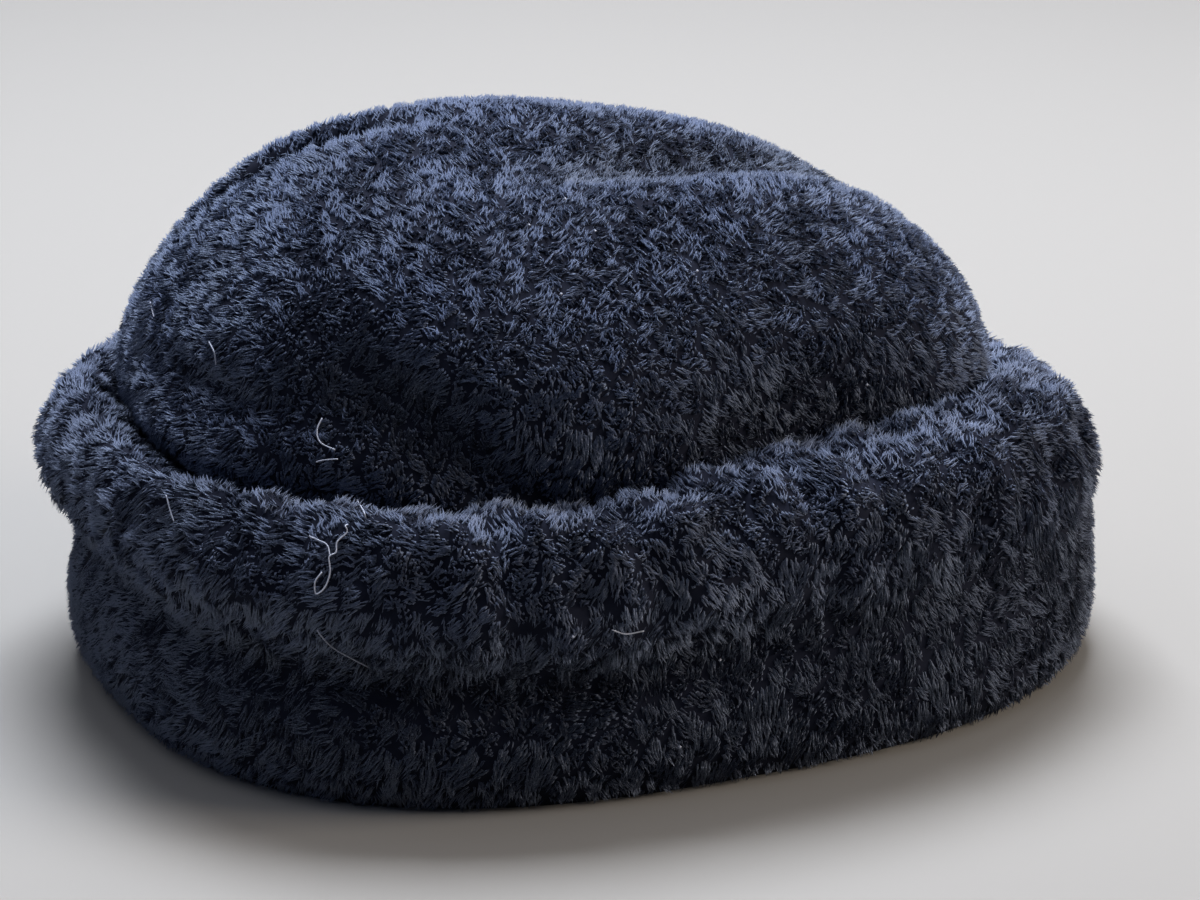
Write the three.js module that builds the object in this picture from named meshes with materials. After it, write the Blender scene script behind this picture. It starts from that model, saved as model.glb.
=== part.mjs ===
// Cossack hat in black pile cloth: a soft crown that has slumped forward, inside a doubled cuff that is
// turned up all round it. Millimetres, +Z up, the wearer's front towards -Y. The hat stands on its rim
// at z = 0, and its outer faces are the tips of the pile.
import * as THREE from 'three';

// Driving sizes
const HEAD_LENGTH = 202;
const HEAD_WIDTH = 160;
const WALL = 8;
const CUFF_THICKNESS = 21;
const OVAL_POWER = 2.5;
const GAP = 0.4;
const FOOT_HEIGHT = 6;
const RIM_ROUND = 7;
const HEM_ROUND = 2;
const CUFF_GRIP = 4;
const ROLL_CLEARANCE = 1;

// Rows of the cuff's profile between which the roll turns over from its outer to its inner side
const ROLL_OUTER = 4;
const ROLL_INNER = 7;

// Mesh steps: columns round the hat and rows up each face
const COLUMNS = 72;
const SEAM_ROWS = 8;
const DOME_ROWS = 16;
const HOLLOW_ROWS = 18;
const CUFF_FACE_ROWS = 20;

// Fineness of the sums: halvings of the search for a height, the short step along the crown for a normal,
// and the least half size of an oval
const HALVINGS = 30;
const NORMAL_STEP = 0.01;
const LEAST_HALF_SIZE = 0.001;

// Colours of the dry cloth
const PILE_COLOUR = 0x14161f;
const CUFF_COLOUR = 0x12131b;
const CLOTH_ROUGHNESS = 0.95;

const CROWN_LENGTH = HEAD_LENGTH / 2 + WALL;
const CROWN_WIDTH = HEAD_WIDTH / 2 + WALL;
const BASE_LENGTH = CROWN_LENGTH + CUFF_THICKNESS;
const BASE_WIDTH = CROWN_WIDTH + CUFF_THICKNESS;

// Crown sections from the rim to the top: height, half length, half width and the slump to the front
const CROWN_SECTIONS = [
  { height: FOOT_HEIGHT, length: CROWN_LENGTH, width: CROWN_WIDTH, front: 0 },
  { height: 30, length: CROWN_LENGTH, width: CROWN_WIDTH, front: 0 },
  { height: 55, length: CROWN_LENGTH, width: CROWN_WIDTH, front: 0 },
  { height: 74, length: 111, width: 88, front: 6 },
  { height: 90, length: 108, width: 85, front: 8 },
  { height: 106, length: 99, width: 76, front: 9 },
  { height: 120, length: 83, width: 60, front: 9 },
  { height: 130, length: 60, width: 40, front: 10 },
  { height: 135, length: 32, width: 20, front: 12 },
  { height: 136, length: 0, width: 0, front: 14 },
];

// Folds of the crown's side: where each one lies round the hat (turn, degrees from the front towards +X)
// and up it, how far it spreads each way, its slant in degrees for each millimetre up, and how far it
// stands out, with a minus for a dent
const SIDE_FOLDS = [
  { name: 'slanting dent', turn: 47, height: 90, spread: 10, rise: 20, slant: -0.65, out: -8 },
  { name: 'front crease', turn: 17, height: 91, spread: 18, rise: 6, slant: 0.25, out: -4 },
  { name: 'front pouch', turn: 14, height: 78, spread: 16, rise: 8, slant: 0, out: 4 },
  { name: 'side pillow', turn: 75, height: 95, spread: 20, rise: 20, slant: 0, out: 3 },
  { name: 'side hollow', turn: 108, height: 78, spread: 24, rise: 16, slant: 0, out: -9 },
  { name: 'back hollow', turn: 180, height: 72, spread: 20, rise: 14, slant: 0, out: -4 },
];

// Swells and creases of the top: centre across and along the hat, half sizes along and across the fold,
// its angle from the hat's length in degrees, and its lift, with a minus for a crease
const TOP_FOLDS = [
  { name: 'front swell', across: -10, along: -70, long: 30, wide: 40, angle: 0, lift: 4 },
  { name: 'back fall', across: -10, along: 88, long: 40, wide: 60, angle: 0, lift: -4 },
  { name: 'peak', across: -22, along: -24, long: 38, wide: 24, angle: 0, lift: 7 },
  { name: 'top dish', across: 10, along: 26, long: 46, wide: 15, angle: -10, lift: -11 },
  { name: 'front lobe', across: -42, along: -66, long: 28, wide: 13, angle: 21, lift: 4.5 },
  { name: 'front valley', across: -27, along: -66, long: 26, wide: 7, angle: 21, lift: -4.5 },
];
const TOP_FOLDS_FROM = 80;
const TOP_FOLDS_FULL = 115;

// The cuff round the hat: height of the groove where it meets the crown, height of its rolled top, how
// far the roll leans out, and how deep the crease under the roll is
const CUFF_STATIONS = [
  { turn: 0, groove: 71, roll: 76, lean: 7, tuck: 3 },
  { turn: 35, groove: 69, roll: 73, lean: 6, tuck: 5 },
  { turn: 65, groove: 67, roll: 72, lean: 5, tuck: 6 },
  { turn: 100, groove: 76, roll: 76, lean: 4, tuck: 2 },
  { turn: 140, groove: 79, roll: 76, lean: 0, tuck: 0 },
  { turn: 180, groove: 66, roll: 68, lean: -4, tuck: 0 },
  { turn: 235, groove: 68, roll: 71, lean: 0, tuck: 1 },
  { turn: 300, groove: 70, roll: 74, lean: 4, tuck: 3 },
];

const radians = THREE.MathUtils.degToRad;
const bell = (distance) => Math.exp(-distance * distance);

// Radius of the head-shaped oval at a turn, for given half length and half width
function ovalRadius(turn, length, width) {
  const across = Math.abs(Math.sin(turn)) / width;
  const along = Math.abs(Math.cos(turn)) / length;
  return (across ** OVAL_POWER + along ** OVAL_POWER) ** (-1 / OVAL_POWER);
}

// Horizontal direction at a turn: -Y at the front, +X a quarter turn later
function outward(turn) {
  return new THREE.Vector3(Math.sin(turn), -Math.cos(turn), 0);
}

// Smooth curve through a list of numbers, read at a position counted in list places
function splineValue(values, position) {
  const last = values.length - 1;
  const place = Math.min(Math.floor(position), last - 1);
  const t = position - place;
  const p1 = values[place];
  const p2 = values[place + 1];
  const p0 = place > 0 ? values[place - 1] : 2 * p1 - p2;
  const p3 = place + 2 <= last ? values[place + 2] : 2 * p2 - p1;
  const bend = (2 * p0 - 5 * p1 + 4 * p2 - p3) * t + (3 * p1 - p0 - 3 * p2 + p3) * t * t;
  return p1 + 0.5 * t * (p2 - p0 + bend);
}

function sectionValue(column, station) {
  return splineValue(CROWN_SECTIONS.map((section) => section[column]), station);
}

// Place in the section table, with fractions, whose height is the one asked for
function stationAtHeight(height) {
  let low = 0;
  let high = CROWN_SECTIONS.length - 1;
  for (let halving = 0; halving < HALVINGS; halving += 1) {
    const middle = (low + high) / 2;
    if (sectionValue('height', middle) < height) low = middle;
    else high = middle;
  }
  return (low + high) / 2;
}

// Crown before it is folded: an oval at each station
function smoothCrown(turn, station) {
  const length = Math.max(sectionValue('length', station), LEAST_HALF_SIZE);
  const width = Math.max(sectionValue('width', station), LEAST_HALF_SIZE);
  const point = outward(turn).multiplyScalar(ovalRadius(turn, length, width));
  point.y -= sectionValue('front', station);
  point.z = sectionValue('height', station);
  return point;
}

// Outward normal of the smooth crown, from two short steps along it
function smoothCrownNormal(turn, station) {
  const around = smoothCrown(turn + NORMAL_STEP, station).sub(smoothCrown(turn - NORMAL_STEP, station));
  const top = CROWN_SECTIONS.length - 1;
  const above = smoothCrown(turn, Math.min(station + NORMAL_STEP, top));
  const below = smoothCrown(turn, Math.max(station - NORMAL_STEP, 0));
  return around.cross(above.sub(below)).normalize();
}

// Side folds push a point in or out, then the top folds lift or sink it
function foldCrown(point, turn) {
  const folded = point.clone();
  let push = 0;
  for (const fold of SIDE_FOLDS) {
    const middle = fold.turn + fold.slant * (point.z - fold.height);
    const offset = THREE.MathUtils.euclideanModulo(THREE.MathUtils.radToDeg(turn) - middle + 180, 360) - 180;
    push += fold.out * bell(offset / fold.spread) * bell((point.z - fold.height) / fold.rise);
  }
  folded.addScaledVector(outward(turn), push);
  let lift = 0;
  for (const fold of TOP_FOLDS) {
    const angle = radians(fold.angle);
    const across = folded.x - fold.across;
    const along = folded.y - fold.along;
    const lengthwise = along * Math.cos(angle) + across * Math.sin(angle);
    const sideways = across * Math.cos(angle) - along * Math.sin(angle);
    lift += fold.lift * bell(lengthwise / fold.long) * bell(sideways / fold.wide);
  }
  folded.z += lift * THREE.MathUtils.smoothstep(point.z, TOP_FOLDS_FROM, TOP_FOLDS_FULL);
  return folded;
}

// Crown point at a turn and station, moved in from the pile tips by the inset
function crownPoint(turn, station, inset) {
  const point = smoothCrown(turn, station);
  point.addScaledVector(smoothCrownNormal(turn, station), -inset);
  return foldCrown(point, turn);
}

// Cuff sizes at a turn, eased between the stations on either side
function cuffAt(turn) {
  const degrees = THREE.MathUtils.euclideanModulo(THREE.MathUtils.radToDeg(turn), 360);
  const count = CUFF_STATIONS.length;
  let place = count - 1;
  while (place > 0 && CUFF_STATIONS[place].turn > degrees) place -= 1;
  const from = CUFF_STATIONS[place];
  const to = CUFF_STATIONS[(place + 1) % count];
  const span = THREE.MathUtils.euclideanModulo(to.turn - from.turn, 360);
  const ease = (1 - Math.cos(Math.PI * (degrees - from.turn) / span)) / 2;
  const mix = (column) => THREE.MathUtils.lerp(from[column], to[column], ease);
  return { groove: mix('groove'), roll: mix('roll'), lean: mix('lean'), tuck: mix('tuck') };
}

// Heights of the rows that the crown's wall and the cuff's inner face share, from the foot to the grip
function seamHeights(turn) {
  const bottom = FOOT_HEIGHT + GAP;
  const top = cuffAt(turn).groove - CUFF_GRIP;
  const heightOfRow = (_, row) => THREE.MathUtils.lerp(bottom, top, row / SEAM_ROWS);
  return Array.from({ length: SEAM_ROWS + 1 }, heightOfRow);
}

const turns = Array.from({ length: COLUMNS }, (_, column) => (2 * Math.PI * column) / COLUMNS);

// Closed body from rings of points. Each ring is joined to the next, a ring of one point is a tip, and
// the last ring is joined to the first unless both are tips.
function bodyFromRings(rings) {
  const positions = [];
  const starts = [];
  for (const ring of rings) {
    starts.push(positions.length / 3);
    for (const point of ring) positions.push(point.x, point.y, point.z);
  }
  const triangles = [];
  rings.forEach((ring, row) => {
    const next = (row + 1) % rings.length;
    const here = starts[row];
    const there = starts[next];
    for (let column = 0; column < COLUMNS; column += 1) {
      const after = (column + 1) % COLUMNS;
      if (ring.length > 1 && rings[next].length > 1) {
        triangles.push(here + column, here + after, there + after);
        triangles.push(here + column, there + after, there + column);
      } else if (ring.length > 1) {
        triangles.push(here + column, here + after, there);
      } else if (rings[next].length > 1) {
        triangles.push(here, there + after, there + column);
      }
    }
  });
  const geometry = new THREE.BufferGeometry();
  geometry.setAttribute('position', new THREE.Float32BufferAttribute(positions, 3));
  geometry.setIndex(triangles);
  geometry.computeVertexNormals();
  return geometry;
}

// Crown: a hollow shell of pile cloth, open at the rim, that seats on the cuff's foot
function makeCrown() {
  const top = CROWN_SECTIONS.length - 1;
  const rings = [];
  for (let row = 0; row <= SEAM_ROWS; row += 1) {
    rings.push(turns.map((turn) => crownPoint(turn, stationAtHeight(seamHeights(turn)[row]), 0)));
  }
  for (let row = 1; row < DOME_ROWS; row += 1) {
    rings.push(turns.map((turn) => {
      const start = stationAtHeight(seamHeights(turn)[SEAM_ROWS]);
      return crownPoint(turn, THREE.MathUtils.lerp(start, top, row / DOME_ROWS), 0);
    }));
  }
  const tip = smoothCrown(0, top);
  rings.push([foldCrown(tip, 0)]);
  rings.push([foldCrown(tip.clone().setZ(tip.z - WALL), 0)]);
  const rim = stationAtHeight(FOOT_HEIGHT + GAP);
  for (let row = HOLLOW_ROWS - 1; row >= 0; row -= 1) {
    const station = THREE.MathUtils.lerp(rim, top, row / HOLLOW_ROWS);
    rings.push(turns.map((turn) => crownPoint(turn, station, WALL)));
  }
  return bodyFromRings(rings);
}

// Point just clear of the crown's wall at a turn and height, where the cuff lies against it
function besideCrown(turn, height) {
  return crownPoint(turn, stationAtHeight(height), 0).addScaledVector(outward(turn), GAP);
}

// Outer face of the cuff at a turn: points from the rim up the wall, into the crease, over the roll and
// down to the groove, held clear of the crown. Offsets are measured out from the base oval, and the roll
// slides along the oval with the crown's slump.
function cuffFace(turn) {
  const { groove, roll, lean, tuck } = cuffAt(turn);
  const base = ovalRadius(turn, BASE_LENGTH, BASE_WIDTH);
  const wallOffset = (height) => besideCrown(turn, height).dot(outward(turn)) - base;
  const seat = groove - CUFF_GRIP;
  const rollEdge = (groove + roll) / 2;
  const inner = wallOffset(rollEdge);
  const along = outward(turn + Math.PI / 2);
  const slump = besideCrown(turn, rollEdge).dot(along);
  const across = (share) => THREE.MathUtils.lerp(lean, inner, share);
  const profile = [
    { offset: -RIM_ROUND, height: 0 },
    { offset: -0.5, height: RIM_ROUND },
    { offset: 1, height: 0.26 * roll },
    { offset: 0.4 * lean - tuck, height: 0.55 * roll },
    { offset: lean, height: 0.75 * roll },
    { offset: across(0.22), height: 0.94 * roll },
    { offset: across(0.55), height: roll },
    { offset: inner + 2, height: rollEdge },
    { offset: wallOffset(seat), height: seat },
  ];
  const offsets = profile.map((point) => point.offset);
  const heights = profile.map((point) => point.height);
  return Array.from({ length: CUFF_FACE_ROWS }, (_, row) => {
    const place = (row / CUFF_FACE_ROWS) * (profile.length - 1);
    const height = splineValue(heights, place);
    const clear = height > seat ? wallOffset(height) + ROLL_CLEARANCE : -base;
    const offset = Math.max(splineValue(offsets, place), clear);
    const slide = slump * THREE.MathUtils.smoothstep(place, ROLL_OUTER, ROLL_INNER);
    return outward(turn).multiplyScalar(base + offset).addScaledVector(along, slide).setZ(height);
  });
}

// Cuff: the doubled band as one thick ring, with a foot turned in under the crown's wall
function makeCuff() {
  const columns = turns.map((turn) => {
    const points = cuffFace(turn);
    for (const height of seamHeights(turn).reverse()) points.push(besideCrown(turn, height));
    points[points.length - 1].z = FOOT_HEIGHT;
    const hem = crownPoint(turn, stationAtHeight(FOOT_HEIGHT), WALL).dot(outward(turn));
    const hemPoint = (inset, height) => outward(turn).multiplyScalar(hem + inset).setZ(height);
    points.push(hemPoint(HEM_ROUND, FOOT_HEIGHT));
    points.push(hemPoint(0, FOOT_HEIGHT - HEM_ROUND));
    points.push(hemPoint(0, HEM_ROUND));
    points.push(hemPoint(HEM_ROUND, 0));
    return points;
  });
  return bodyFromRings(columns[0].map((_, row) => columns.map((points) => points[row])));
}

function clothMesh(name, geometry, color) {
  const cloth = new THREE.MeshStandardMaterial({ color, roughness: CLOTH_ROUGHNESS, metalness: 0 });
  const mesh = new THREE.Mesh(geometry, cloth);
  mesh.name = name;
  return mesh;
}

const hat = new THREE.Group();
hat.add(clothMesh('crown', makeCrown(), PILE_COLOUR));
hat.add(clothMesh('cuff', makeCuff(), CUFF_COLOUR));

// The origin is the middle of the hat's box, on the surface that it stands on
const middle = new THREE.Box3().setFromObject(hat).getCenter(new THREE.Vector3());
hat.position.set(-middle.x, -middle.y, 0);

export default hat;
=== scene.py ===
# %% [markdown]
# A cossack hat in black pile cloth, standing on its rim. The solid model already holds its true form: a
# soft crown that has slumped towards the front, inside a doubled cuff turned up all round. This lesson
# gives that form its cloth. First comes the frame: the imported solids, in metres, which nothing here moves
# or resizes.

# %% Load the frame and keep its box
import itertools

import bpy
import numpy as np
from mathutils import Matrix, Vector


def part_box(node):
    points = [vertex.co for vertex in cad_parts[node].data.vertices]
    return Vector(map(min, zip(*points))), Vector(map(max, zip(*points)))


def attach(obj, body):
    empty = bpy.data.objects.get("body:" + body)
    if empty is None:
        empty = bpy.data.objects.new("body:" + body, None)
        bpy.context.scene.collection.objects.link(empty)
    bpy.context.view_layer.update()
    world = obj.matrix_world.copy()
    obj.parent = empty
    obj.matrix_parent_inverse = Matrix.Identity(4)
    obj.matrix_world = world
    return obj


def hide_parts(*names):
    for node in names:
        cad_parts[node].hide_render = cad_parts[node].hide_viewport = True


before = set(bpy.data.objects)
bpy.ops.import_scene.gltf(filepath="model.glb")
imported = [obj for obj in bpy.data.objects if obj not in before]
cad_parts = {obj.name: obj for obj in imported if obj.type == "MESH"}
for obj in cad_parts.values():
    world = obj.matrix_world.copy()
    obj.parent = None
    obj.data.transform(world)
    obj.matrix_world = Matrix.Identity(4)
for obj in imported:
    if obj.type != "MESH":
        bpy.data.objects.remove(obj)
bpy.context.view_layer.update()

# %% [markdown]
# The cloth has to lie where the solids are, so it is worked out from the same sizes and the same short
# tables: oval sections for the crown, a row for each fold, and a row for each station of the cuff. All
# sizes are in millimetres until the last moment, when a mesh is written in metres.

# %% Sizes of the hat
MM = 0.001
HEAD_LENGTH = 202
HEAD_WIDTH = 160
WALL = 8
CUFF_THICKNESS = 21
OVAL_POWER = 2.5
GAP = 0.4
FOOT_HEIGHT = 6
RIM_ROUND = 7
HEM_ROUND = 2
CUFF_GRIP = 4
ROLL_CLEARANCE = 1
ROLL_OUTER, ROLL_INNER = 4, 7
TOP_FOLDS_FROM, TOP_FOLDS_FULL = 80, 115
CROWN_LENGTH = HEAD_LENGTH / 2 + WALL
CROWN_WIDTH = HEAD_WIDTH / 2 + WALL
BASE_LENGTH = CROWN_LENGTH + CUFF_THICKNESS
BASE_WIDTH = CROWN_WIDTH + CUFF_THICKNESS


def table(columns, rows):
    """A short table of numbers with named columns."""
    return np.array(rows, dtype=[(name, float) for name in columns.split()])


CROWN_SECTIONS = table("height length width front", [
    (FOOT_HEIGHT, CROWN_LENGTH, CROWN_WIDTH, 0),
    (30, CROWN_LENGTH, CROWN_WIDTH, 0),
    (55, CROWN_LENGTH, CROWN_WIDTH, 0),
    (74, 111, 88, 6),
    (90, 108, 85, 8),
    (106, 99, 76, 9),
    (120, 83, 60, 9),
    (130, 60, 40, 10),
    (135, 32, 20, 12),
    (136, 0, 0, 14),
])
SIDE_FOLDS = table("turn height spread rise slant out", [
    (47, 90, 10, 20, -0.65, -8),
    (17, 91, 18, 6, 0.25, -4),
    (14, 78, 16, 8, 0, 4),
    (75, 95, 20, 20, 0, 3),
    (108, 78, 24, 16, 0, -9),
    (180, 72, 20, 14, 0, -4),
])
TOP_FOLDS = table("across along long wide angle lift", [
    (-10, -70, 30, 40, 0, 4),
    (-10, 88, 40, 60, 0, -4),
    (-22, -24, 38, 24, 0, 7),
    (10, 26, 46, 15, -10, -11),
    (-42, -66, 28, 13, 21, 4.5),
    (-27, -66, 26, 7, 21, -4.5),
])
CUFF_STATIONS = table("turn groove roll lean tuck", [
    (0, 71, 76, 7, 3),
    (35, 69, 73, 6, 5),
    (65, 67, 72, 5, 6),
    (100, 76, 76, 4, 2),
    (140, 79, 76, 0, 0),
    (180, 66, 68, -4, 0),
    (235, 68, 71, 0, 1),
    (300, 70, 74, 4, 3),
])
CROWN_TOP = len(CROWN_SECTIONS) - 1
print("tables:", len(CROWN_SECTIONS), "sections,", len(SIDE_FOLDS) + len(TOP_FOLDS), "folds")

# %% [markdown]
# The crown is a surface of two parameters. The turn goes round the head, from the front towards +X, and the
# station goes up the section table. Each station is an oval; the folds then push its points in and out and
# lift the top. Everything is done on whole arrays, so a million points cost no more code than one.


# %% Crown surface
def bell(distance):
    """A smooth bump: one at zero, fading to nothing past about two."""
    return np.exp(-distance * distance)


def smoothstep(value, low, high):
    """Zero below low, one above high, with a soft S between."""
    t = np.clip((value - low) / (high - low), 0, 1)
    return t * t * (3 - 2 * t)


def unit(vectors):
    """Vectors of length one."""
    return vectors / (np.linalg.norm(vectors, axis=-1, keepdims=True) + 1e-12)


def outward(turn):
    """Horizontal direction at a turn: -Y at the front, +X a quarter turn later."""
    return np.stack([np.sin(turn), -np.cos(turn), np.zeros_like(turn)], -1)


def spline(values, place):
    """Smooth curve through a list of numbers, read at places counted along the list."""
    ends = np.concatenate(([2 * values[0] - values[1]], values, [2 * values[-1] - values[-2]]))
    first = np.clip(np.floor(place).astype(int), 0, len(values) - 2)
    t = place - first
    if values.ndim > 1:
        t = t[:, None]
    p0, p1, p2, p3 = (ends[first + step] for step in range(4))
    bend = (2 * p0 - 5 * p1 + 4 * p2 - p3) * t + (3 * p1 - p0 - 3 * p2 + p3) * t * t
    return p1 + 0.5 * t * (p2 - p0 + bend)


def oval_radius(turn, length, width):
    """Radius of a rounded box shape, |x / width|^2.5 + |y / length|^2.5 = 1, at a turn."""
    across = np.abs(np.sin(turn)) / width
    along = np.abs(np.cos(turn)) / length
    return (across**OVAL_POWER + along**OVAL_POWER) ** (-1 / OVAL_POWER)


def smooth_crown(turn, station):
    """Crown before it is folded: an oval at each station, slumped to the front."""
    length = np.maximum(spline(CROWN_SECTIONS["length"], station), 0.001)
    width = np.maximum(spline(CROWN_SECTIONS["width"], station), 0.001)
    point = outward(turn) * oval_radius(turn, length, width)[..., None]
    point[..., 1] -= spline(CROWN_SECTIONS["front"], station)
    point[..., 2] = spline(CROWN_SECTIONS["height"], station)
    return point


def fold_crown(point, turn):
    """Side folds push along the turn's direction, then the top folds lift, each as a bell-shaped bump."""
    height = point[..., 2]
    push = np.zeros_like(height)
    for fold in SIDE_FOLDS:
        middle = fold["turn"] + fold["slant"] * (height - fold["height"])
        offset = (np.degrees(turn) - middle + 180) % 360 - 180
        push += fold["out"] * bell(offset / fold["spread"]) * bell((height - fold["height"]) / fold["rise"])
    folded = point + outward(turn) * push[..., None]
    lift = np.zeros_like(height)
    for fold in TOP_FOLDS:
        angle = np.radians(fold["angle"])
        across = folded[..., 0] - fold["across"]
        along = folded[..., 1] - fold["along"]
        lengthwise = along * np.cos(angle) + across * np.sin(angle)
        sideways = across * np.cos(angle) - along * np.sin(angle)
        lift += fold["lift"] * bell(lengthwise / fold["long"]) * bell(sideways / fold["wide"])
    folded[..., 2] += lift * smoothstep(height, TOP_FOLDS_FROM, TOP_FOLDS_FULL)
    return folded


def crown_surface(turn, station, inset=0.0):
    """Crown at turns and stations: the smooth oval, moved in along its normal by the inset, then folded."""
    turn, station = np.broadcast_arrays(turn, station)
    step = 0.01
    around = smooth_crown(turn + step, station) - smooth_crown(turn - step, station)
    above = smooth_crown(turn, np.minimum(station + step, CROWN_TOP))
    below = smooth_crown(turn, np.maximum(station - step, 0))
    normal = unit(np.cross(around, above - below))
    return fold_crown(smooth_crown(turn, station) - inset * normal, turn)


STATION_STEPS = np.linspace(0, CROWN_TOP, 2000)
STATION_HEIGHTS = np.maximum.accumulate(spline(CROWN_SECTIONS["height"], STATION_STEPS))


def station_at_height(height):
    """Place in the section table whose height is the one asked for."""
    return np.interp(height, STATION_HEIGHTS, STATION_STEPS)


print("crown stations:", len(STATION_STEPS))

# %% [markdown]
# The cuff is a profile carried round the head. Its sizes are eased between the stations of its table, and
# its inner side always lies just clear of the crown, so the two can never cut into each other.


# %% Cuff surface
def cuff_value(column, turn):
    """One column of the cuff table at the turns, eased by half a cosine between stations."""
    turns = np.append(CUFF_STATIONS["turn"], 360)
    values = np.append(CUFF_STATIONS[column], CUFF_STATIONS[column][0])
    degrees = np.degrees(turn) % 360
    place = np.clip(np.searchsorted(turns, degrees, side="right") - 1, 0, len(turns) - 2)
    share = (degrees - turns[place]) / (turns[place + 1] - turns[place])
    ease = (1 - np.cos(np.pi * share)) / 2
    return values[place] * (1 - ease) + values[place + 1] * ease


def beside_crown(turn, height):
    """Points just clear of the crown's wall."""
    return crown_surface(turn, station_at_height(height)) + GAP * outward(turn)


def cuff_face(turn, place):
    """Outer face of the cuff, one row of points for each place along its profile.

    The profile runs from the rim up the wall, into the crease, over the roll and down to the groove. Each
    offset is measured out from the base oval.
    """
    groove, roll, lean, tuck = (cuff_value(name, turn) for name in ("groove", "roll", "lean", "tuck"))
    base = oval_radius(turn, BASE_LENGTH, BASE_WIDTH)
    seat = groove - CUFF_GRIP
    roll_edge = (groove + roll) / 2
    edge = beside_crown(turn, roll_edge)
    inner = (edge * outward(turn)).sum(-1) - base
    seat_offset = (beside_crown(turn, seat) * outward(turn)).sum(-1) - base
    flat = np.zeros_like(turn)
    # Nine points of the profile, from the rim to the seat: shares of the lean and of the roll's height.
    offsets = np.stack([
        flat - RIM_ROUND, flat - 0.5, flat + 1, 0.4 * lean - tuck, lean,
        0.78 * lean + 0.22 * inner, 0.45 * lean + 0.55 * inner, inner + 2, seat_offset,
    ])
    heights = np.stack([
        flat, flat + RIM_ROUND, 0.26 * roll, 0.55 * roll, 0.75 * roll, 0.94 * roll, roll, roll_edge, seat,
    ])
    offset, height = spline(offsets, place), spline(heights, place)
    wall = (beside_crown(turn[None, :], height) * outward(turn)).sum(-1) - base
    offset = np.where(height > seat, np.maximum(offset, wall + ROLL_CLEARANCE), offset)
    along = outward(turn + np.pi / 2)
    slide = smoothstep(place, ROLL_OUTER, ROLL_INNER)[:, None] * (edge * along).sum(-1)
    point = outward(turn) * (base + offset)[..., None] + along * slide[..., None]
    point[..., 2] = height
    return point


CUFF_PROFILE_END = 8
quarter_turns = np.radians([0, 90, 180, 270])
print("cuff tops in mm:", cuff_value("roll", quarter_turns).round(1))

# %% [markdown]
# Pile cloth isn't smooth: its fibres gather into small soft tufts, two to four millimetres across, with
# dark gaps between them. Space is cut into cubes of the tuft size, and each cube holds one tuft centre at a
# place that a hash of the cube's number gives. The nearest centre then tells each point which tuft it
# belongs to. The same field shapes the cloth below and gathers the fibres above, so the two always agree.


# %% Tuft field
HASH_PRIMES = np.array([73856093, 19349663, 83492791], dtype=np.uint64)
HASH_STEP, HASH_SEED_STEP, HASH_MIX = 2654435761, 7919, 2246822519
LOW_32_BITS = np.uint64(0xFFFFFFFF)


def hashed(cells, seed):
    """Three even random numbers from 0 to 1 for each whole-number cell, the same on every run.

    The cell's three indices times large primes are added up, and shifted copies are mixed in.
    """
    mixed = cells.astype(np.uint64) @ HASH_PRIMES
    step = np.uint64(HASH_STEP + HASH_SEED_STEP * seed)
    mixed = mixed[..., None] + np.array([1, 2, 3], dtype=np.uint64) * step
    for shift in (15, 13, 16):
        mixed = (mixed ^ (mixed >> np.uint64(shift))) * np.uint64(HASH_MIX)
        mixed &= LOW_32_BITS
    return mixed / 2.0**32


def ripple(points, wavelength, seed):
    """Smooth noise from -1 to 1: six plane waves of about one wavelength, in seeded directions."""
    draw = np.random.default_rng(seed)
    directions = unit(draw.normal(size=(6, 3)))
    lengths = wavelength * draw.uniform(0.7, 1.4, 6)
    phases = draw.uniform(0, 2 * np.pi, 6)
    waves = np.sin(2 * np.pi * (points @ directions.T) / lengths + phases)
    return waves.mean(-1) * 2


def wander(points, wavelength, seed):
    """Smooth noise as a vector."""
    return np.stack([ripple(points, wavelength, seed + axis) for axis in range(3)], -1)


TUFT_STRETCH = np.array([1.0, 1.0, 0.65])
TUFT_WANDER = 0.9
TUFT_WANDER_LENGTH = 9


def tuft_field(points, size):
    """Nearest tuft centre to each point.

    Gives the distance as a share of the tuft size, the way to the centre, and the tuft's own number.
    """
    flat = points.reshape(-1, 3)
    swayed = (flat + TUFT_WANDER * wander(flat, TUFT_WANDER_LENGTH, 40)) * TUFT_STRETCH / size
    home = np.floor(swayed).astype(np.int64)
    nearest = np.full(len(flat), np.inf)
    way = np.zeros_like(flat)
    number = np.zeros(len(flat))
    for step in itertools.product((-1, 0, 1), repeat=3):
        draw = hashed(home + np.array(step) + 100000, 1)
        offset = home + np.array(step) + draw - swayed
        distance = np.linalg.norm(offset, axis=1)
        closer = distance < nearest
        nearest = np.where(closer, distance, nearest)
        way = np.where(closer[:, None], offset * size / TUFT_STRETCH, way)
        number = np.where(closer, draw[:, 0], number)
    shape = points.shape[:-1]
    return nearest.reshape(shape), way.reshape(points.shape), number.reshape(shape)


TUFT_EDGE = 0.9
LOWEST_TUFT = 0.7


def tuft_dome(distance):
    """Height of a tuft as a half circle: 0 at its edge, 1 at its middle."""
    return np.sqrt(np.clip(1 - (distance / TUFT_EDGE) ** 2, 0, 1))


def tuft_height(distance, number):
    """Height of the dome, with some tufts lower than others by their own number."""
    return tuft_dome(distance) * (LOWEST_TUFT + (1 - LOWEST_TUFT) * number)


print("tufts sway by", TUFT_WANDER, "mm over", TUFT_WANDER_LENGTH, "mm")

# %% [markdown]
# Two small helpers serve both pieces of cloth. A grid of points has its normals from the steps along and
# across it, which needs no faces. Its rows are spaced evenly along the surface, so that no triangle is
# long.


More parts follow.
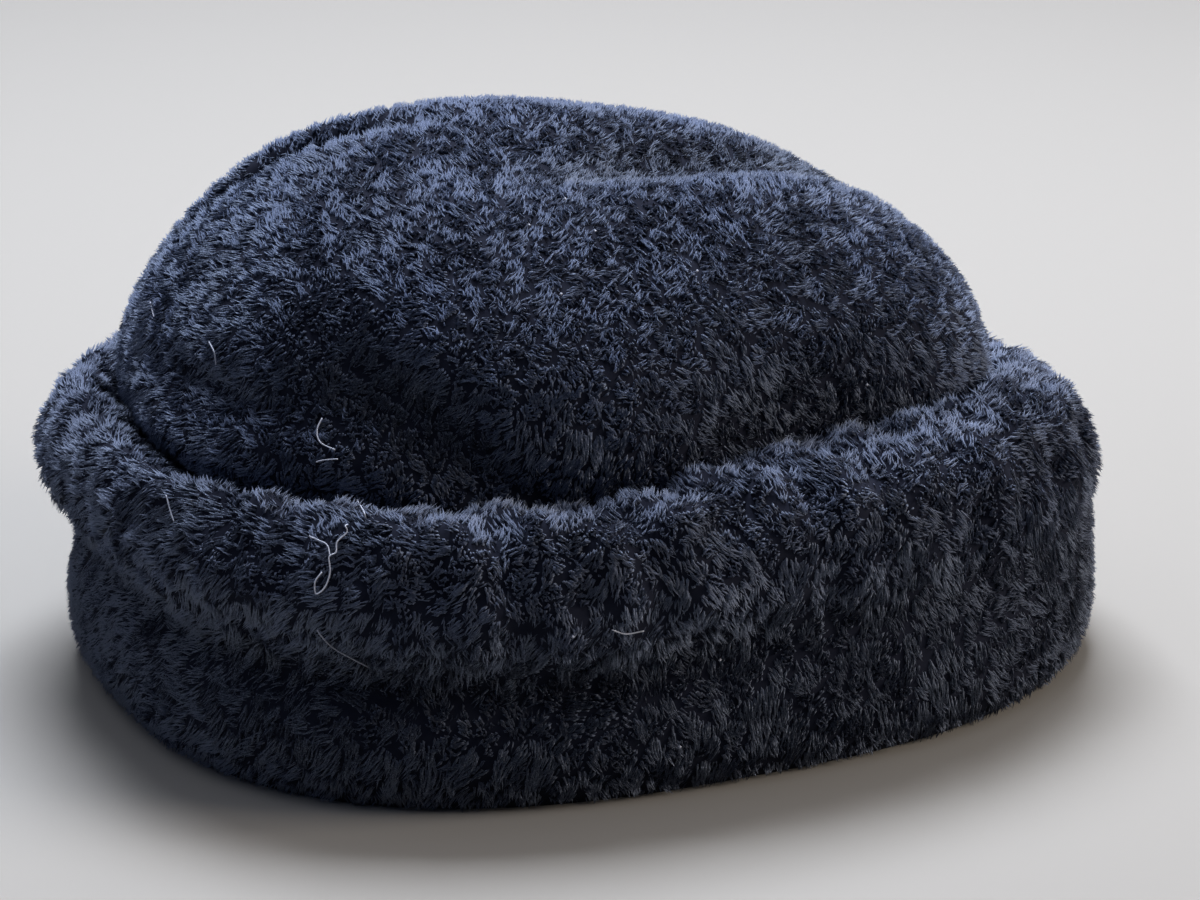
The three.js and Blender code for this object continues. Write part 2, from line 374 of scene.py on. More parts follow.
# %% Steps along a grid
def grid_normals(points):
    """Outward normals of a grid of rings, from the steps along and across it."""
    along = np.roll(points, -1, 1) - np.roll(points, 1, 1)
    up = np.gradient(points, axis=0)
    return unit(np.cross(along, up))


def even_places(points, start, count):
    """Row places that are evenly far apart along the mean of the columns."""
    lengths = np.linalg.norm(np.diff(points, axis=0), axis=-1).mean(1)
    travelled = np.concatenate(([0], np.cumsum(lengths)))
    return np.interp(np.linspace(0, travelled[-1], count), travelled, start)


# %% [markdown]
# The crown's cloth follows the solid's outer face, sunk by the depth of the pile, with a low dome for each
# tuft. It is fine only where it shows: the wall behind the cuff needs a few rows. The inside is the plain
# knit that the pile is anchored in, eight millimetres further in.

# %% Crown cloth
PILE_DEPTH = 1.8
TUFT_RELIEF = 0.8
CROWN_TUFT = 3.0
CROWN_COLUMNS, CROWN_ROWS, CROWN_HIDDEN_ROWS, CROWN_INNER_ROWS = 340, 110, 5, 12
TRIAL_ROWS, TRIAL_STEP = 400, 10
# The last ring stops just short of the top, where a ring would shrink to a point.
CROWN_END = CROWN_TOP - 0.03

crown_turns = np.linspace(0, 2 * np.pi, CROWN_COLUMNS, endpoint=False)
rim_station = station_at_height(FOOT_HEIGHT + GAP)
seat_station = station_at_height(cuff_value("groove", crown_turns) - CUFF_GRIP)
shares = np.linspace(0, 1, TRIAL_ROWS)
trial_seat = seat_station[::TRIAL_STEP]
trial_stations = trial_seat + (CROWN_END - trial_seat) * shares[:, None]
crown_shares = even_places(crown_surface(crown_turns[::TRIAL_STEP], trial_stations), shares, CROWN_ROWS)
hidden_shares = np.linspace(0, 1, CROWN_HIDDEN_ROWS, endpoint=False)
crown_stations = np.concatenate([
    rim_station + (seat_station - rim_station) * hidden_shares[:, None],
    seat_station + (CROWN_END - seat_station) * crown_shares[:, None],
])
crown_tips = crown_surface(crown_turns, crown_stations)
crown_normals = grid_normals(crown_tips)
distance, _, tuft_number = tuft_field(crown_tips, CROWN_TUFT)
crown_relief = TUFT_RELIEF * tuft_height(distance, tuft_number)
crown_cloth = crown_tips - crown_normals * (PILE_DEPTH - crown_relief)[..., None]
inner_stations = np.linspace(CROWN_END, rim_station, CROWN_INNER_ROWS)
crown_inside = crown_surface(crown_turns, inner_stations[:, None], WALL)
print("crown grid", crown_cloth.shape)

# %% [markdown]
# On the real crown the pile closes over a fold and keeps the light out of it, while it opens and shines on
# a ridge. Here that light and shade are painted into the pile's colour: each point gets painted shade or a
# painted highlight from how far it was pushed in or out. One fold on the front shoulder is a true parting,
# where the pile falls to both sides; it is pressed deeper into the cloth and gets more painted shade.

# %% Folds and parting of the crown
FOLD_SHADE, FOLD_FROM, FOLD_FULL = 0.8, 0.5, 6
RIDGE_LIGHT, RIDGE_FULL = 0.2, 6
PARTING_MIDDLE = np.array([-27, -66])
PARTING_ANGLE = np.radians(21)
PARTING_LONG, PARTING_WIDE, PARTING_DEPTH, PARTING_SHADE = 34, 6, 6.5, 0.85

unfolded = smooth_crown(*np.broadcast_arrays(crown_turns, crown_stations))
pushed_in = ((unfolded - crown_tips) * crown_normals).sum(-1)
# Painted shade in the folds and a painted highlight on the ridges.
crown_painted_light = 1 - FOLD_SHADE * smoothstep(pushed_in, FOLD_FROM, FOLD_FULL)
crown_painted_light += RIDGE_LIGHT * smoothstep(-pushed_in, 0, RIDGE_FULL)
parting_way = np.array([np.sin(PARTING_ANGLE), np.cos(PARTING_ANGLE)])
from_parting = crown_tips[..., :2] - PARTING_MIDDLE
lengthwise = from_parting @ parting_way
sideways = from_parting @ (parting_way[::-1] * (1, -1))
parting = bell(lengthwise / PARTING_LONG) * bell(sideways / PARTING_WIDE)
parting *= smoothstep(crown_tips[..., 2], TOP_FOLDS_FROM, TOP_FOLDS_FULL)
crown_cloth -= crown_normals * (PARTING_DEPTH * parting)[..., None]
# Painted shade along the parting.
crown_painted_light *= 1 - PARTING_SHADE * parting
print("light on the crown from", crown_painted_light.min().round(2), "to", crown_painted_light.max().round(2))

# %% [markdown]
# The cuff's cloth is the same idea on a closed profile. The outer face comes first, from the rim over the
# roll. The roll sags over the lower band at the front: the solid's tuck is filled out there and a crease
# runs a little below it. The roll is lumpy and gets painted light, the lower band gets painted shade and a
# lower relief, the crease gets painted shade, and the cloth is flat where the hat stands on it.

# %% Cuff cloth
CUFF_TUFT = 3.6
CUFF_COLUMNS, CUFF_ROWS, CUFF_SEAM_ROWS = 400, 82, 6
TUCK_SHARE, FULL_TUCK = 0.55, 6
DROOP, DROOP_TURN, DROOP_SPREAD = 4, 55, 38
FILL_ABOVE, FILL_WIDE = 4, 9
ROLL_FROM, ROLL_FULL = -4, 10
CREASE_DEPTH, CREASE_BELOW, CREASE_WIDE = 5, 4, 6
LUMP_LENGTH, LUMP_HEIGHT, LUMP_SEED = 16, 1.6, 50
PRESSED_HEIGHT = 6
LOW_RELIEF = 0.55
LOW_CUFF_LIGHT, ROLL_LIGHT, CREASE_SHADE = 0.5, 1.2, 0.6

cuff_turns = np.linspace(0, 2 * np.pi, CUFF_COLUMNS, endpoint=False)
places = np.linspace(0, CUFF_PROFILE_END, TRIAL_ROWS)
cuff_places = even_places(cuff_face(cuff_turns[::TRIAL_STEP], places), places, CUFF_ROWS)
cuff_tips = cuff_face(cuff_turns, cuff_places)
cuff_normals = grid_normals(cuff_tips)
cuff_height = cuff_tips[..., 2]
tuck = cuff_value("tuck", cuff_turns)
tuck_height = TUCK_SHARE * cuff_value("roll", cuff_turns)
droop = bell((np.degrees(cuff_turns) - DROOP_TURN) / DROOP_SPREAD)
above_low = cuff_height - tuck_height + DROOP * droop
roll_share = smoothstep(above_low, ROLL_FROM, ROLL_FULL)
fill = droop * tuck * bell((cuff_height - tuck_height - FILL_ABOVE) / FILL_WIDE)
crease = tuck / FULL_TUCK * bell((above_low + CREASE_BELOW) / CREASE_WIDE)
lumps = roll_share * ripple(cuff_tips, LUMP_LENGTH, LUMP_SEED)
distance, _, tuft_number = tuft_field(cuff_tips, CUFF_TUFT)
cuff_relief = TUFT_RELIEF * tuft_height(distance, tuft_number) * (LOW_RELIEF + (1 - LOW_RELIEF) * roll_share)
sunk = PILE_DEPTH - cuff_relief + CREASE_DEPTH * crease - LUMP_HEIGHT * lumps - fill
pressed = smoothstep(cuff_height, 0, PRESSED_HEIGHT)
cuff_cloth = cuff_tips - cuff_normals * (pressed * sunk)[..., None]
# Painted light on the roll, painted shade on the lower band and in the crease.
cuff_painted_light = (LOW_CUFF_LIGHT + (ROLL_LIGHT - LOW_CUFF_LIGHT) * roll_share) * (1 - CREASE_SHADE * crease)
print("cuff grid", cuff_cloth.shape)

# %% [markdown]
# Behind the roll the cuff runs down beside the crown's wall and closes under the crown's foot with a small
# rounded hem. Hardly any of it shows, so it has only a few rings.

# %% Hidden side of the cuff
SEAM_DROP = 1
seam_shares = np.linspace(1, 0, CUFF_SEAM_ROWS)[:, None]
seam_top = cuff_value("groove", cuff_turns) - CUFF_GRIP - SEAM_DROP
seam_wall = beside_crown(cuff_turns[None, :], FOOT_HEIGHT + (seam_top - FOOT_HEIGHT) * seam_shares)
hem_radius = (crown_surface(cuff_turns, rim_station, WALL) * outward(cuff_turns)).sum(-1)
hem_profile = ((HEM_ROUND, FOOT_HEIGHT), (0, FOOT_HEIGHT - HEM_ROUND), (0, HEM_ROUND), (HEM_ROUND, 0))
hem = np.stack([
    outward(cuff_turns) * (hem_radius + step)[:, None] + (0, 0, height) for step, height in hem_profile
])
cuff_rings = np.concatenate([cuff_cloth, seam_wall, hem])
print("cuff rings in all:", len(cuff_rings))

# %% [markdown]
# The tables are centred on the head, but the frame's origin is the middle of the hat's box, so everything
# is shifted by the difference between the two boxes of the cuff.

# %% From the head's middle to the frame's origin
low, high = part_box("cuff")
own_low, own_high = cuff_tips.reshape(-1, 3).min(0), cuff_tips.reshape(-1, 3).max(0)
SHIFT = (np.array(low) + np.array(high)) / 2 / MM - (own_low + own_high) / 2
SHIFT[2] = 0
print("shift in mm:", SHIFT.round(2))

# %% [markdown]
# Each piece of cloth is one closed mesh. Rings of points go round the head and each ring is joined to the
# next by triangles; a fan closes the crown's top. The pile and the lint are made by the same function, and
# the pile's points also carry two numbers that its material reads: rise, the painted light and shade on
# them, and shade, the tone of their lock.


# %% From rings to a mesh
def strip(here, there, columns):
    """Triangles between two rings that start at the given point numbers."""
    column = np.arange(columns)
    after = (column + 1) % columns
    lower = np.stack([here + column, here + after, there + after], -1)
    upper = np.stack([here + column, there + after, there + column], -1)
    return np.concatenate([lower, upper])


def strips(starts, columns):
    """Triangles between each ring and the next in a list of ring starts."""
    return np.concatenate([strip(here, there, columns) for here, there in zip(starts[:-1], starts[1:])])


def fan(start, tip, columns):
    """Triangles from a ring to one point above it."""
    column = np.arange(columns)
    return np.stack([start + column, start + (column + 1) % columns, np.full(columns, tip)], -1)


def mesh_object(name, points, triangles, numbers, materials, finish=None):
    """New object at the origin from points in millimetres, triangles, and numbers on the points.

    The finish of a triangle is the place of its material in the list.
    """
    mesh = bpy.data.meshes.new(name)
    mesh.vertices.add(len(points))
    mesh.vertices.foreach_set("co", ((points + SHIFT) * MM).astype(np.float32).ravel())
    mesh.loops.add(triangles.size)
    mesh.loops.foreach_set("vertex_index", triangles.astype(np.int32).ravel())
    mesh.polygons.add(len(triangles))
    mesh.polygons.foreach_set("loop_start", np.arange(0, triangles.size, 3, dtype=np.int32))
    for label, values in numbers.items():
        layer = mesh.attributes.new(label, "FLOAT", "POINT")
        layer.data.foreach_set("value", values.astype(np.float32).ravel())
    for material in materials:
        mesh.materials.append(material)
    if finish is not None:
        mesh.polygons.foreach_set("material_index", finish.astype(np.int32))
    mesh.update(calc_edges=True)
    mesh.shade_smooth()
    made = bpy.data.objects.new(name, mesh)
    bpy.context.scene.collection.objects.link(made)
    print(name, len(triangles), "triangles")
    return made


# %% [markdown]
# The camera and the light come before the pieces, because a few loose threads are placed by where they are
# seen. The camera has a long lens and looks a little down at one front quarter of the hat.

# %% Camera
CAMERA_PLACE = np.array([932.6, -421.1, 401.2])
CAMERA_TURN, CAMERA_PITCH = np.radians(65.3), np.radians(18.85)
LENS, SENSOR = 126, 36

camera_data = bpy.data.cameras.new("camera")
camera_data.lens = LENS
camera_data.sensor_width = SENSOR
camera = bpy.data.objects.new("camera", camera_data)
camera.location = CAMERA_PLACE * MM
camera.rotation_euler = (np.pi / 2 - CAMERA_PITCH, 0, CAMERA_TURN)
bpy.context.scene.collection.objects.link(camera)
bpy.context.scene.camera = camera
print("camera at", [round(value, 3) for value in camera.location])

# %% [markdown]
# The light is soft and mostly from above. A wide ceiling keeps the floor even, a smaller window above and
# behind makes the top of the crown much brighter than its front, and a weak cool panel and a warmer one
# keep the sides from going quite black.


# %% Floor and light
def panel(name, place, aim, width, power, colour):
    """Square soft light at a place in metres that faces a point."""
    light = bpy.data.lights.new(name, "AREA")
    light.shape = "SQUARE"
    light.size = width
    light.energy = power
    light.color = colour
    lamp = bpy.data.objects.new(name, light)
    lamp.location = place
    lamp.rotation_euler = (Vector(aim) - Vector(place)).to_track_quat("-Z", "Y").to_euler()
    bpy.context.scene.collection.objects.link(lamp)


def linear(colour):
    """Linear RGB of an sRGB colour written as six hex digits."""
    parts = np.array([int(colour[place:place + 2], 16) for place in (0, 2, 4)]) / 255
    return tuple(np.where(parts <= 0.04045, parts / 12.92, ((parts + 0.055) / 1.055) ** 2.4).tolist())


HAT_MIDDLE = (0, 0, 0.08)
panel("ceiling", (0, 0, 3), HAT_MIDDLE, 5, 62, linear("F2F4FF"))
panel("window above", (-0.5, 0.2, 1.25), HAT_MIDDLE, 0.7, 50, linear("EAF0FF"))
panel("cool side", (-0.1, -1.5, 0.6), HAT_MIDDLE, 0.6, 2, linear("C8D8FF"))
panel("warm side", (0.9, 1.5, 0.6), HAT_MIDDLE, 0.8, 32, linear("FFF1E4"))
bpy.context.scene.view_settings.view_transform = "Standard"

world = bpy.data.worlds.new("pale room")
world.use_nodes = True
world.node_tree.nodes["Background"].inputs["Color"].default_value = (*linear("8CA8E4"), 1)
world.node_tree.nodes["Background"].inputs["Strength"].default_value = 0.1
bpy.context.scene.world = world

FLOOR_HALF = 6
floor_mesh = bpy.data.meshes.new("floor")
floor_corners = [(-FLOOR_HALF, -FLOOR_HALF, 0), (FLOOR_HALF, -FLOOR_HALF, 0),
                 (FLOOR_HALF, FLOOR_HALF, 0), (-FLOOR_HALF, FLOOR_HALF, 0)]
floor_mesh.from_pydata(floor_corners, [], [(0, 1, 2, 3)])
floor = bpy.data.objects.new("floor", floor_mesh)
bpy.context.scene.collection.objects.link(floor)
print("floor", 2 * FLOOR_HALF, "m wide under four soft panels")

# %% [markdown]
# Black acrylic pile reflects little, and what it does reflect comes off the tips: the roots lie in the
# shade of their neighbours. So the colour runs from nearly black at the root to a dark slate blue at the
# tip, which is painted shade at the roots and in the gaps between tufts; the same number also carries the
# painted light and shade of the folds, the roll and the crease. Each tuft has its own slight tone, and
# broad soft patches show where the pile lies one way or the other. A sheen stands for the light that grazes
# along the fibres, which is what makes cloth look soft at its edges. The ground between the tufts is dull
# and has no sheen, so the gaps stay dark.


# %% Materials
def node(tree, kind, links=None, **settings):
    """New node of a kind, with its settings, and its inputs set to numbers or linked to other nodes."""
    made = tree.nodes.new(kind)
    for name, value in settings.items():
        setattr(made, name, value)
    for name, value in (links or {}).items():
        if hasattr(value, "is_output"):
            tree.links.new(value, made.inputs[name])
        else:
            made.inputs[name].default_value = value
    return made


def new_material(name):
    """Empty material and its node tree."""
    material = bpy.data.materials.new(name)
    material.use_nodes = True
    material.node_tree.nodes.clear()
    return material, material.node_tree


PATCH_SIZE = 26
FUZZ_SIZE, FUZZ_DEPTH, FUZZ_STRENGTH = 0.45, 0.3, 0.5
TUFT_TONE = 0.45


def pile_cloth(name, root, tip, sheen):
    """Pile cloth: dark roots, lighter tips, a tone for each tuft, and broad patches of lay."""
    material, tree = new_material(name)
    place = node(tree, "ShaderNodeTexCoord").outputs["Object"]
    # rise is painted light and shade; it mixes the colour from the root colour to the tip colour.
    rise = node(tree, "ShaderNodeAttribute", attribute_name="rise").outputs["Fac"]
    shade = node(tree, "ShaderNodeAttribute", attribute_name="shade").outputs["Fac"]
    patch = node(tree, "ShaderNodeTexNoise", {"Vector": place, "Scale": 1 / (PATCH_SIZE * MM), "Detail": 2})
    fuzz = node(tree, "ShaderNodeTexNoise", {"Vector": place, "Scale": 1 / (FUZZ_SIZE * MM), "Detail": 2})
    tone = node(tree, "ShaderNodeMath", {0: shade, 1: TUFT_TONE, 2: patch.outputs["Fac"]},
                operation="MULTIPLY_ADD")
    amount = node(tree, "ShaderNodeMath", {0: rise, 1: tone.outputs[0]},
                  operation="MULTIPLY", use_clamp=True)
    colour = node(tree, "ShaderNodeMix", {"Factor": amount.outputs[0]}, data_type="RGBA")
    colour.inputs["A"].default_value = (*linear(root), 1)
    colour.inputs["B"].default_value = (*linear(tip), 1)
    bump = node(tree, "ShaderNodeBump", {
        "Height": fuzz.outputs["Fac"], "Strength": FUZZ_STRENGTH, "Distance": FUZZ_DEPTH * MM,
    })
    shader = node(tree, "ShaderNodeBsdfPrincipled", {
        "Base Color": colour.outputs["Result"], "Normal": bump.outputs["Normal"], "Roughness": 0.85,
        "Specular IOR Level": 0.15, "Sheen Weight": sheen, "Sheen Roughness": 0.5,
        "Sheen Tint": (*linear("B0BED6"), 1),
    })
    node(tree, "ShaderNodeOutputMaterial", {"Surface": shader.outputs[0]})
    return material


def plain_cloth(name, colour, roughness):
    """One even dull colour, for the ground, the knit inside, the lint and the floor."""
    material, tree = new_material(name)
    shader = node(tree, "ShaderNodeBsdfPrincipled", {
        "Base Color": (*linear(colour), 1), "Roughness": roughness, "Specular IOR Level": 0.1,
    })
    node(tree, "ShaderNodeOutputMaterial", {"Surface": shader.outputs[0]})
    return material


# Soft acrylic pile: dark in its depth by painted shade, with a cool sheen on the tips.
CROWN_PILE = pile_cloth("black pile of the crown", "060913", "4A556E", 0.55)
# The same pile on the cuff, a little paler at the tips.
CUFF_PILE = pile_cloth("black pile of the cuff", "060812", "545C6F", 0.5)
# The cloth that the tufts stand in: dull, so that the gaps between them read as dark.
GROUND = plain_cloth("black ground between the tufts", "121520", 0.95)
# Knit backing on the inside: matt, with no pile.
KNIT = plain_cloth("black knit backing", "15161A", 0.9)
# Pale matt fibre that stands out against the black.
LINT = plain_cloth("pale lint", "9599A4", 0.8)

# Pale paint on the floor, so that the black cloth stands clear of it.
floor_mesh.materials.append(plain_cloth("pale floor", "8A8780", 0.7))

print("materials:", [made.name for made in (CROWN_PILE, CUFF_PILE, GROUND, KNIT, LINT)])

# %% [markdown]
# Now the two pieces of cloth themselves. Each takes the place of one solid. The crown has an outer and an
# inner skin that meet at the rim, each closed at the top by a fan. The cuff's rings follow a closed
# profile, so its last ring joins its first.

# %% Crown and cuff cloth as meshes
ring_count = len(crown_cloth)
top_ring = (ring_count - 1) * CROWN_COLUMNS
outer_apex = ring_count * CROWN_COLUMNS
inner_start = outer_apex + 2
outer_starts = np.arange(ring_count) * CROWN_COLUMNS
inner_starts = inner_start + np.arange(CROWN_INNER_ROWS) * CROWN_COLUMNS
apex = np.stack([crown_cloth[-1].mean(0), crown_inside[0].mean(0)])
crown_points = np.concatenate([crown_cloth.reshape(-1, 3), apex, crown_inside.reshape(-1, 3)])
shown = np.concatenate([strips(outer_starts, CROWN_COLUMNS), fan(top_ring, outer_apex, CROWN_COLUMNS)])
lined = np.concatenate([
    fan(inner_start, outer_apex + 1, CROWN_COLUMNS)[:, ::-1],
    strips(inner_starts, CROWN_COLUMNS),
    strip(inner_starts[-1], 0, CROWN_COLUMNS),
])

finish = np.repeat([0, 1], [len(shown), len(lined)])
crown = mesh_object("crown_cloth", crown_points, np.concatenate([shown, lined]), {}, [GROUND, KNIT], finish)
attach(crown, "root")
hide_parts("crown")

cuff_points = cuff_rings.reshape(-1, 3)
cuff_starts = np.append(np.arange(len(cuff_rings)), 0) * CUFF_COLUMNS
cuff = mesh_object("cuff_cloth", cuff_points, strips(cuff_starts, CUFF_COLUMNS), {}, [GROUND])
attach(cuff, "root")
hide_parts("cuff")

# %% [markdown]
# The pile stands on the cloth as short fibres. A single fibre is too fine to see here, so each small mesh
# stands for a lock of fibres: a three-sided root nearly a millimetre wide that narrows to one tip. Plain
# triangles also stay in the exported mesh, which hair would not. They lean downhill, wander together in
# broad sweeps, turn each tuft its own way, and draw in a little to the middle of their tuft.

# %% Pile
LOCK_SIDES = 3
LOCK_RADIUS, LOCK_WIDTHS, LOCK_LENGTHS = 0.5, (0.7, 1.2), (0.75, 1.15)
ROOT_DEPTH = 0.5
LOWEST_TIP = 0.2
DOWN = np.array([0.0, 0.0, -1.0])
DOWNHILL, OWN_WAY, SCATTER = 0.7, 0.8, 0.3
SWAY, SWAY_LENGTH, SWAY_SEED = 0.4, 38, 60
STAND, STAND_IN_TUFT, GATHER = 0.15, 0.5, 0.3
ROOT_LIGHT, GAP_LIGHT = 0.55, 0.5
TONE_LOW, TONE_OF_TUFT, TONE_OF_LOCK = 0.1, 0.35, 0.2


def draw_roots(points, count, draw):
    """Places on a grid of rings, even by area: row, column and the shares across the cell."""
    along = np.roll(points, -1, 1)[:-1] - points[:-1]
    up = points[1:] - points[:-1]
    area = np.linalg.norm(np.cross(along, up), axis=-1).ravel()
    cell = draw.choice(area.size, count, p=area / area.sum())
    row, column = np.divmod(cell, points.shape[1])
    return row, column, draw.random(count), draw.random(count)


def read_grid(values, roots):
    """Values of a grid at the drawn places, mixed from the four corners of the cell."""
    row, column, share_up, share_along = roots
    after = (column + 1) % values.shape[1]
    if values.ndim == 3:
        share_up, share_along = share_up[:, None], share_along[:, None]
    lower = values[row, column] * (1 - share_along) + values[row, after] * share_along
    upper = values[row + 1, column] * (1 - share_along) + values[row + 1, after] * share_along
    return lower * (1 - share_up) + upper * share_up


def locks(points, normals, light, size, count, length, lean, sweep, seed):
    """Locks of pile on a grid of cloth: points, triangles, and the rise and shade of each point.

    A lock's tip goes up the normal, further in the middle of a tuft, and over along the lay: downhill plus
    a share of the sweep round the head, slow noise, the tuft's own way and some scatter. It also moves
    towards its tuft's middle.
    """
    draw = np.random.default_rng(seed)
    roots = draw_roots(points, count, draw)
    root = read_grid(points, roots)
    normal = unit(read_grid(normals, roots))
    distance, way, shade = tuft_field(root, size)
    along = unit(np.cross(DOWN, normal))
    turn = 2 * np.pi * shade[:, None]
    own = along * np.cos(turn) + np.cross(normal, along) * np.sin(turn)
    lay = DOWNHILL * DOWN + sweep * along + SWAY * wander(root, SWAY_LENGTH, SWAY_SEED) + OWN_WAY * own
    lay += SCATTER * draw.normal(size=(count, 3))
    lay -= normal * (lay * normal).sum(-1, keepdims=True)
    gather = way - normal * (way * normal).sum(-1, keepdims=True)
    dome = tuft_dome(distance)[:, None]
    tall = length * draw.uniform(*LOCK_LENGTHS, (count, 1))
    start = root - normal * ROOT_DEPTH
    tip = root + normal * tall * (STAND + STAND_IN_TUFT * dome) + lay * tall * lean + gather * GATHER
    side = unit(np.cross(normal, lay) + 1e-6)
    other = np.cross(normal, side)
    angles = np.arange(LOCK_SIDES) * 2 * np.pi / LOCK_SIDES
    spread = side[:, None] * np.cos(angles)[:, None] + other[:, None] * np.sin(angles)[:, None]
    radius = LOCK_RADIUS * draw.uniform(*LOCK_WIDTHS, (count, 1, 1))
    made = np.concatenate([start[:, None] + spread * radius, tip[:, None]], 1)
    made[..., 2] = np.maximum(made[..., 2], LOWEST_TIP)
    each = LOCK_SIDES + 1
    one = np.concatenate([[[2, 1, 0]], fan(0, LOCK_SIDES, LOCK_SIDES)])
    triangles = (one[None] + (np.arange(count) * each)[:, None, None]).reshape(-1, 3)
    # Painted shade: darker at the root and in the gaps between tufts, times the painted light and shade of
    # the folds, the roll and the crease.
    up_the_lock = np.repeat([ROOT_LIGHT, 1.0], [LOCK_SIDES, 1])
    rise = up_the_lock * (GAP_LIGHT + (1 - GAP_LIGHT) * dome) * read_grid(light, roots)[:, None]
    tone = np.repeat(TONE_LOW + TONE_OF_TUFT * shade + TONE_OF_LOCK * draw.random(count), each)
    return made.reshape(-1, 3), triangles, {"rise": rise, "shade": tone}


def add_pile(name, node_name, material, *settings):
    """One piece of pile that belongs to a solid, with the settings that locks takes."""
    points, triangles, numbers = locks(*settings)
    piece = mesh_object(name, points, triangles, numbers, [material])
    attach(piece, "root")
    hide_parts(node_name)


print("each lock has", LOCK_SIDES + 1, "triangles")

# %% [markdown]
# Each piece of pile is made in two halves, so that no mesh grows too large. The cuff's locks are longer and
# sweep more round the head, and none are set under the rim or deep behind the roll, where nobody sees them.

# %% Pile of the crown and the cuff
CROWN_LOCKS, CROWN_LOCK_LENGTH, CROWN_SWEEP, CROWN_SEED = 46000, 3.0, 0.2, 70
CUFF_LOCKS, CUFF_LOCK_LENGTH, CUFF_SWEEP, CUFF_SEED = 49000, 3.4, 0.5, 80
CUFF_PILE_FROM, CUFF_PILE_TO = 0.25, 7.6
LEAN = 0.6

crown_grids = [grid[CROWN_HIDDEN_ROWS:] for grid in (crown_cloth, crown_normals, crown_painted_light)]
first, last = np.searchsorted(cuff_places, (CUFF_PILE_FROM, CUFF_PILE_TO))
cuff_grids = [grid[first:last] for grid in (cuff_cloth, cuff_normals, cuff_painted_light)]
for half in (1, 2):
    add_pile(f"crown_pile_{half}", "crown", CROWN_PILE, *crown_grids, CROWN_TUFT,
             CROWN_LOCKS, CROWN_LOCK_LENGTH, LEAN, CROWN_SWEEP, CROWN_SEED + half)
for half in (1, 2):
    add_pile(f"cuff_pile_{half}", "cuff", CUFF_PILE, *cuff_grids, CUFF_TUFT,
             CUFF_LOCKS, CUFF_LOCK_LENGTH, LEAN, CUFF_SWEEP, CUFF_SEED + half)

# %% [markdown]
# A black pile picks up lint, and this hat has: one curled thread and a few short ones, with some pale
# specks. Each is given by where it is seen in the picture, 1200 by 900, and is laid on the cloth by sending
# its points out from the camera as far as the cloth lies there.

# %% Lint
PICTURE_SIZE = np.array([1200, 900])
PICTURE_MIDDLE = PICTURE_SIZE / 2
PICTURE_FOCUS = PICTURE_SIZE[0] * LENS / SENSOR
FACING_LEAST = 0.1
DEPTH_WEIGHT = 0.05
THREAD_RADIUS = 0.17
THREAD_STEPS = 8
SPECK_RADIUS = 0.45
THREAD_LIFT = 3.0
THREADS = [
    [(357, 500), (365, 515), (362, 525), (346, 525), (347, 532), (337, 542), (336, 552),
     (329, 557), (330, 572), (325, 587), (316, 594), (315, 582), (322, 572)],
    [(309, 536), (318, 540), (327, 545), (330, 556)],
    [(317, 630), (322, 637), (332, 647), (345, 655), (368, 667)],
    [(322, 418), (317, 430), (320, 442), (335, 450)],
    [(316, 462), (325, 460), (338, 459)],
    [(150, 302), (152, 310), (154, 317)],
    [(209, 342), (214, 352), (216, 365)],
    [(166, 495), (170, 510), (174, 522)],
    [(612, 630), (626, 634), (644, 631)],
]
SPECKS = [
    (565, 199), (529, 225), (595, 231), (561, 294), (697, 271),
    (867, 385), (680, 747), (720, 660), (573, 637),
]

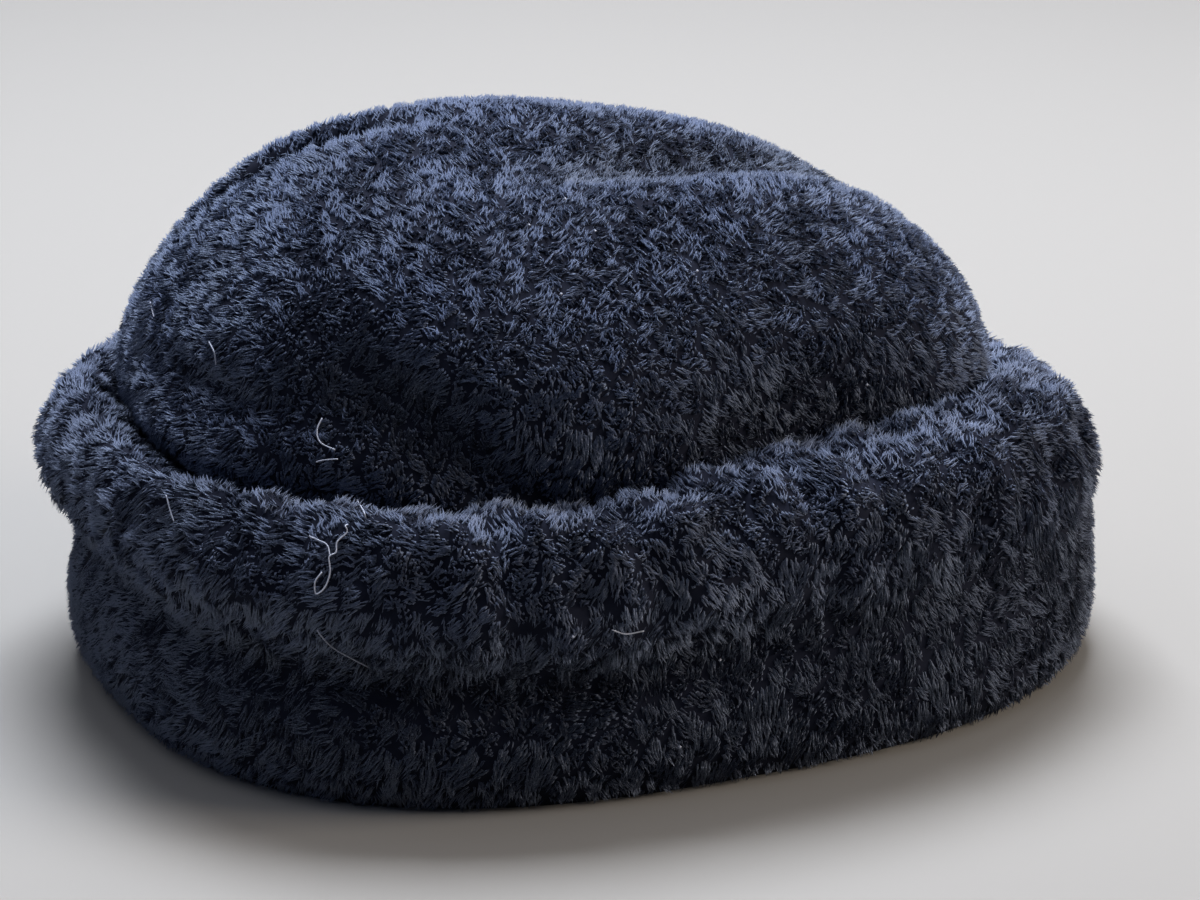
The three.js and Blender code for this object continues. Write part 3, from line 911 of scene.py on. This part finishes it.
look_right = np.array([np.cos(CAMERA_TURN), np.sin(CAMERA_TURN), 0])
level_ahead = np.array([-np.sin(CAMERA_TURN), np.cos(CAMERA_TURN), 0])
look_ahead = np.cos(CAMERA_PITCH) * level_ahead - (0, 0, np.sin(CAMERA_PITCH))
look_up = np.cross(look_right, look_ahead)
faces = np.concatenate([crown_cloth[CROWN_HIDDEN_ROWS:].reshape(-1, 3), cuff_cloth.reshape(-1, 3)])
facing = np.concatenate([crown_normals[CROWN_HIDDEN_ROWS:].reshape(-1, 3), cuff_normals.reshape(-1, 3)])
faces = faces[facing @ look_ahead < -FACING_LEAST] + SHIFT - CAMERA_PLACE
depths = faces @ look_ahead
right_and_down = np.stack([faces @ look_right, -(faces @ look_up)], -1)
seen = PICTURE_MIDDLE + PICTURE_FOCUS * right_and_down / depths[:, None]


def on_cloth(spots):
    """Points of the picture, laid on the nearest cloth behind them, in millimetres from the head's middle."""
    spots = np.array(spots, dtype=float)
    apart = np.linalg.norm(seen[None] - spots[:, None], axis=-1)
    far = depths[np.argmin(apart + DEPTH_WEIGHT * depths, axis=1)] - THREAD_LIFT
    flat = (spots - PICTURE_MIDDLE) / PICTURE_FOCUS
    ray = look_ahead + flat[:, :1] * look_right - flat[:, 1:] * look_up
    return CAMERA_PLACE + ray * far[:, None] - SHIFT


def thread(spots):
    """A thin four-sided tube along a smooth curve through points of the picture."""
    knots = on_cloth(spots)
    path = spline(knots, np.linspace(0, len(knots) - 1, (len(knots) - 1) * THREAD_STEPS + 1))
    ahead = unit(np.gradient(path, axis=0))
    side = unit(np.cross(ahead, look_ahead))
    other = np.cross(ahead, side)
    rings = np.stack([path + THREAD_RADIUS * way for way in (side, other, -side, -other)], 1)
    points = np.concatenate([rings.reshape(-1, 3), path[[0, -1]]])
    starts = np.arange(len(path)) * 4
    ends = [fan(0, len(points) - 2, 4)[:, ::-1], fan(starts[-1], len(points) - 1, 4)]
    return points, np.concatenate([strips(starts, 4), *ends])


def speck(spot):
    """A small eight-sided grain at a point of the picture."""
    offsets = SPECK_RADIUS * np.concatenate([np.eye(3), -np.eye(3)])
    triangles = [(0, 1, 2), (1, 3, 2), (3, 4, 2), (4, 0, 2), (1, 0, 5), (3, 1, 5), (4, 3, 5), (0, 4, 5)]
    return on_cloth([spot]) + offsets, np.array(triangles)


bits = [thread(spots) for spots in THREADS] + [speck(spot) for spot in SPECKS]
bit_starts = np.cumsum([0] + [len(points) for points, _ in bits])
lint_points = np.concatenate([points for points, _ in bits])
lint_triangles = np.concatenate([triangles + start for (_, triangles), start in zip(bits, bit_starts)])
lint = mesh_object("lint", lint_points, lint_triangles, {}, [LINT])
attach(lint, "root")
